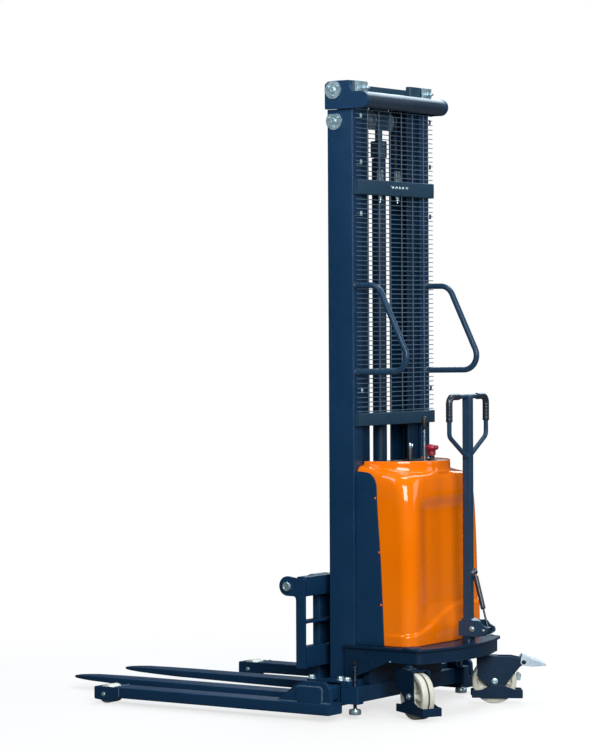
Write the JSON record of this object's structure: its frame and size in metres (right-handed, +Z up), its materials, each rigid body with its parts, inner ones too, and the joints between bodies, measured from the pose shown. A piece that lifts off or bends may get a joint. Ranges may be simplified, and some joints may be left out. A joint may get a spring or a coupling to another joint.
{
  "type": "walkie stacker",
  "caption": "Pedestrian straddle stacker with a telescopic lift mast, forks, adjustable straddle legs, swivel casters, covered power unit and tilting tiller.",
  "frame": {"origin": "middle of the bounding box, on the floor", "axes": "+Z up; forks point to -Y and the operator stands at +Y; +X is the truck's left"},
  "size_m": [1.056, 1.8455, 2.333],
  "materials": {
    "frame_paint": "semi-gloss powder coat",
    "dark_paint": "semi-gloss powder coat",
    "cover_orange": "glossy moulded",
    "black_plastic": "satin",
    "red_plastic": "glossy",
    "zinc": "bright zinc plate",
    "chrome": "polished",
    "wheel_nylon": "cast nylon",
    "chain_steel": "oiled",
    "battery_case": "moulded",
    "motor_grey": "machinery paint"
  },
  "bodies": {
    "truck": {"outer_channel_L": "frame_paint", "outer_channel_R": "frame_paint", "outer_disc_L": "zinc", "outer_disc_R": "zinc", "upper_bracket": "dark_paint", "lower_bracket": "dark_paint", "guard_upper": "dark_paint", "guard_lower": "dark_paint", "grab_handle_L": "frame_paint", "grab_handle_R": "frame_paint", "lift_cylinder": "dark_paint", "chain_rear_L": "chain_steel", "chain_rear_R": "chain_steel", "leg_sleeve": "frame_paint", "base_plate": "frame_paint", "battery": "battery_case", "pump_unit": "motor_grey", "cover": "cover_orange", "dashboard": "black_plastic", "side_panel_L": "frame_paint", "side_panel_R": "frame_paint", "estop_base": "black_plastic"},
    "inner_mast": {"inner_channel_L": "dark_paint", "inner_channel_R": "dark_paint", "cap_plate_L": "frame_paint", "cap_plate_R": "frame_paint", "inner_disc_L": "zinc", "inner_disc_R": "zinc", "top_cross_plate": "dark_paint", "top_tube": "dark_paint", "inner_tie": "dark_paint", "ram": "frame_paint", "chain_front_L": "chain_steel", "chain_front_R": "chain_steel"},
    "pulley_left": {"pulley_L": "motor_grey"},
    "pulley_right": {"pulley_R": "motor_grey"},
    "carriage": {"carriage_frame": "frame_paint", "fork_shaft": "zinc"},
    "fork_left": {"fork_L": "frame_paint"},
    "fork_right": {"fork_R": "frame_paint"},
    "leg_left": {"leg_L": "frame_paint"},
    "leg_right": {"leg_R": "frame_paint"},
    "roller_left": {"load_roller_L": "wheel_nylon"},
    "roller_right": {"load_roller_R": "wheel_nylon"},
    "jack_left": {"jack_foot_L": "zinc"},
    "jack_right": {"jack_foot_R": "zinc"},
    "caster_left": {"caster_fork_L": "dark_paint"},
    "caster_right": {"caster_fork_R": "dark_paint"},
    "wheel_left": {"caster_wheel_L": "wheel_nylon"},
    "wheel_right": {"caster_wheel_R": "wheel_nylon"},
    "brake_pedal": {"brake_pedal": "zinc"},
    "tiller_swivel": {"tiller_yoke": "frame_paint"},
    "tiller": {"tiller_tube": "frame_paint", "tiller_grip_L": "black_plastic", "tiller_grip_R": "black_plastic"},
    "gas_cylinder": {"gas_cylinder": "black_plastic"},
    "gas_rod": {"gas_rod": "chrome"},
    "control_lever": {"control_lever": "chrome"},
    "stop_button": {"estop_knob": "red_plastic"}
  },
  "joints": [
    {"name": "inner_lift", "type": "slide", "parent": "truck", "child": "inner_mast", "axis": [0, 0, 1], "range_m": [0, 1.7], "deforming": ["chain_rear_L", "chain_rear_R"]},
    {"name": "carriage_lift", "type": "slide", "parent": "inner_mast", "child": "carriage", "axis": [0, 0, 1], "range_m": [0, 1.7], "deforming": ["chain_front_L", "chain_front_R"]},
    {"name": "pulley_left_spin", "type": "hinge", "parent": "inner_mast", "child": "pulley_left", "pos_m": [0.06, 0.414, 2.2], "axis": [1, 0, 0], "continuous": true},
    {"name": "fork_left_spread", "type": "slide", "parent": "carriage", "child": "fork_left", "axis": [1, 0, 0], "range_m": [-0.06, 0.13]},
    {"name": "leg_left_spread", "type": "slide", "parent": "truck", "child": "leg_left", "axis": [1, 0, 0], "range_m": [0, 0.18]},
    {"name": "roller_left_spin", "type": "hinge", "parent": "leg_left", "child": "roller_left", "pos_m": [0.4745, -0.504, 0.035], "axis": [1, 0, 0], "continuous": true},
    {"name": "jack_left_screw", "type": "slide", "parent": "truck", "child": "jack_left", "axis": [0, 0, -1], "range_m": [-0.015, 0.014]},
    {"name": "pulley_right_spin", "type": "hinge", "parent": "inner_mast", "child": "pulley_right", "pos_m": [-0.06, 0.414, 2.2], "axis": [1, 0, 0], "continuous": true},
    {"name": "fork_right_spread", "type": "slide", "parent": "carriage", "child": "fork_right", "axis": [-1, 0, 0], "range_m": [-0.06, 0.13]},
    {"name": "leg_right_spread", "type": "slide", "parent": "truck", "child": "leg_right", "axis": [-1, 0, 0], "range_m": [0, 0.18]},
    {"name": "roller_right_spin", "type": "hinge", "parent": "leg_right", "child": "roller_right", "pos_m": [-0.4745, -0.504, 0.035], "axis": [1, 0, 0], "continuous": true},
    {"name": "jack_right_screw", "type": "slide", "parent": "truck", "child": "jack_right", "axis": [0, 0, -1], "range_m": [-0.015, 0.014]},
    {"name": "caster_left_swivel", "type": "hinge", "parent": "truck", "child": "caster_left", "pos_m": [0.25, 0.7, 0.2], "axis": [0, 0, 1], "continuous": true},
    {"name": "wheel_left_spin", "type": "hinge", "parent": "caster_left", "child": "wheel_left", "pos_m": [0.27417, 0.74604, 0.085], "axis": [0.8854, -0.4648, 0], "continuous": true},
    {"name": "caster_right_swivel", "type": "hinge", "parent": "truck", "child": "caster_right", "pos_m": [-0.25, 0.7, 0.2], "axis": [0, 0, 1], "range_deg": [-155, 90]},
    {"name": "wheel_right_spin", "type": "hinge", "parent": "caster_right", "child": "wheel_right", "pos_m": [-0.2793, 0.74296, 0.085], "axis": [0.8261, 0.5635, 0], "continuous": true},
    {"name": "brake_pedal_press", "type": "hinge", "parent": "caster_right", "child": "brake_pedal", "pos_m": [-0.34129, 0.83383, 0.158], "axis": [-0.8261, -0.5635, 0], "range_deg": [0, 14], "stiffness_Nm_per_rad": 4, "springref_deg": -17.19},
    {"name": "tiller_turn", "type": "hinge", "parent": "truck", "child": "tiller_swivel", "pos_m": [0, 0.799, 0.28], "axis": [0, 0, 1], "range_deg": [-55, 55]},
    {"name": "tiller_tilt", "type": "hinge", "parent": "tiller_swivel", "child": "tiller", "pos_m": [0, 0.831, 0.312], "axis": [-1, 0, 0], "range_deg": [0, 60], "stiffness_Nm_per_rad": 20, "springref_deg": -45.84},
    {"name": "gas_cylinder_pivot", "type": "hinge", "parent": "tiller", "child": "gas_cylinder", "pos_m": [0, 0.826, 0.52], "axis": [-1, 0, 0], "range_deg": [0, 3.5]},
    {"name": "gas_rod_stroke", "type": "slide", "parent": "gas_cylinder", "child": "gas_rod", "axis": [0, -0.2621, 0.965], "range_m": [0, 0.052]},
    {"name": "lever_tilt", "type": "hinge", "parent": "truck", "child": "control_lever", "pos_m": [0.04, 0.635, 0.93], "axis": [1, 0, 0], "range_deg": [-15, 15], "stiffness_Nm_per_rad": 1},
    {"name": "stop_push", "type": "slide", "parent": "truck", "child": "stop_button", "axis": [0, 0, -1], "range_m": [0, 0.004], "stiffness_N_per_m": 1500, "springref_m": -0.001}
  ],
  "couplings": [
    {"joint": "carriage_lift", "follows": "inner_lift", "ratio": 1},
    {"joint": "pulley_left_spin", "follows": "inner_lift", "rad_per_m": -28.5},
    {"joint": "pulley_right_spin", "follows": "inner_lift", "rad_per_m": -28.5},
    {"joint": "gas_cylinder_pivot", "follows": "tiller_tilt", "ratio": 0.05},
    {"joint": "gas_rod_stroke", "follows": "tiller_tilt", "m_per_rad": 0.0458}
  ]
}
